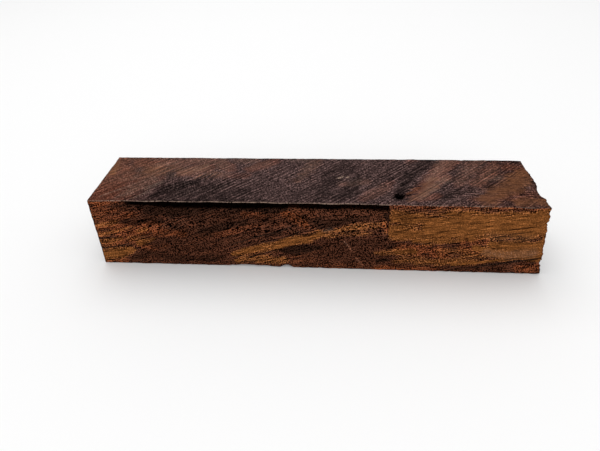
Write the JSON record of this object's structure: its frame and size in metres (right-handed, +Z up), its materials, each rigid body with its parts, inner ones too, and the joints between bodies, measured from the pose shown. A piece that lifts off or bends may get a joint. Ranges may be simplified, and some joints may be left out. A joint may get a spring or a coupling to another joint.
{
  "type": "pen blank",
  "caption": "Short square stick of curly koa wood, sawn on its sides, with a rough leaning end and chipped edges, for turning into a pen barrel.",
  "frame": {"origin": "middle of the lower face that it rests on", "axes": "+X along the stick towards its rough leaning end, -Y out of the front face with the saw step, +Z up"},
  "size_m": [0.1261, 0.0242, 0.0232],
  "materials": {
    "koa": "bare sawn figured wood, between gold, red brown and near black"
  },
  "bodies": {
    "root": {"koa_blank": "koa"}
  },
  "joints": []
}
